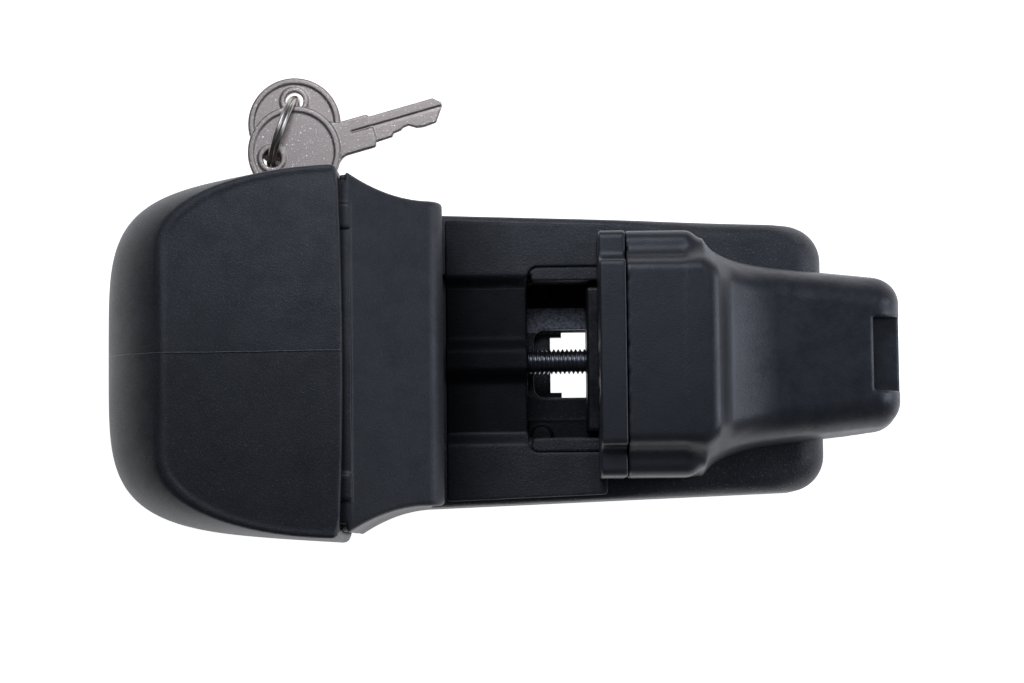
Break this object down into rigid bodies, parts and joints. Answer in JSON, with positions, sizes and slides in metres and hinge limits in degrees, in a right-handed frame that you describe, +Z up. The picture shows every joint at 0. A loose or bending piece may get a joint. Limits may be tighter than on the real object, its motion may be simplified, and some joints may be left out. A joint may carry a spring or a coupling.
{
  "type": "trailer coupler lock",
  "caption": "Key-locked screw clamp: a sliding jaw closes on a fixed lip over a flat base, under a lockable end cap, with keys on a ring.",
  "frame": {"origin": "middle of the base's back face, under the clamp screw's axis and between the two jaws", "axes": "+X along the clamp screw from the end cap to the moving jaw's tongue, +Z up from the back face to the jaws, +Y across towards the lock and its keys"},
  "size_m": [0.1764, 0.1056, 0.057],
  "materials": {
    "cap_plastic": "moulded black plastic with a fine spark-eroded texture",
    "jaw_plastic": "moulded black plastic, satin",
    "base_plastic": "moulded black plastic with a coarse texture",
    "rubber": "matt black rubber",
    "black_steel": "black oxide",
    "slider_metal": "black coated zinc casting",
    "zinc_steel": "zinc plated",
    "nickel": "satin nickel plate",
    "ring_steel": "bright nickel plate",
    "brass": "plain"
  },
  "bodies": {
    "base": {"base_housing": "base_plastic", "back_cover": "base_plastic", "cover_screws": "black_steel", "deck_pad": "rubber", "fixed_jaw": "jaw_plastic", "fixed_jaw_pad": "rubber", "fixed_jaw_screws": "black_steel", "thrust_plate": "zinc_steel", "strike_plate": "zinc_steel", "strike_screws": "black_steel"},
    "screw": {"clamp_screw": "black_steel", "screw_washer": "zinc_steel", "retaining_clip": "zinc_steel"},
    "jaw": {"moving_jaw": "jaw_plastic", "jaw_pad": "rubber", "jaw_slider": "slider_metal", "clamp_nut": "zinc_steel", "slider_plate": "zinc_steel", "jaw_screws": "black_steel"},
    "cap": {"end_cap": "cap_plastic", "lock_barrel": "nickel", "lock_nut": "zinc_steel"},
    "plug": {"lock_plug": "nickel", "lock_wafers": "brass", "lock_cam": "zinc_steel", "cam_screw": "zinc_steel"},
    "key": {"inserted_key": "nickel"},
    "ring": {"key_ring": "ring_steel"},
    "spare": {"spare_key": "nickel"}
  },
  "joints": [
    {"name": "screw_turn", "type": "hinge", "parent": "base", "child": "screw", "pos_m": [0, 0, 0.013], "axis": [1, 0, 0], "range_deg": [-3601, 4681]},
    {"name": "jaw_slide", "type": "slide", "parent": "base", "child": "jaw", "axis": [1, 0, 0], "range_m": [-0.013, 0.01]},
    {"name": "cap_slide", "type": "slide", "parent": "base", "child": "cap", "axis": [-1, 0, 0], "range_m": [0, 0.06]},
    {"name": "lock_turn", "type": "hinge", "parent": "cap", "child": "plug", "pos_m": [-0.0474, 0.025, 0.028], "axis": [0, -1, 0], "range_deg": [0, 90]},
    {"name": "key_slide", "type": "slide", "parent": "plug", "child": "key", "axis": [0, 1, 0], "range_m": [0, 0.026]},
    {"name": "ring_swing", "type": "hinge", "parent": "key", "child": "ring", "pos_m": [-0.0474, 0.0588, 0.028], "axis": [-0.942, 0.3355, 0], "range_deg": [0, 8]},
    {"name": "spare_key_swing", "type": "hinge", "parent": "ring", "child": "spare", "pos_m": [-0.0522, 0.0453, 0.0312], "axis": [0, 0, 1], "range_deg": [0, 6]}
  ],
  "couplings": [
    {"joint": "screw_turn", "follows": "jaw_slide", "rad_per_m": -6283.2}
  ]
}
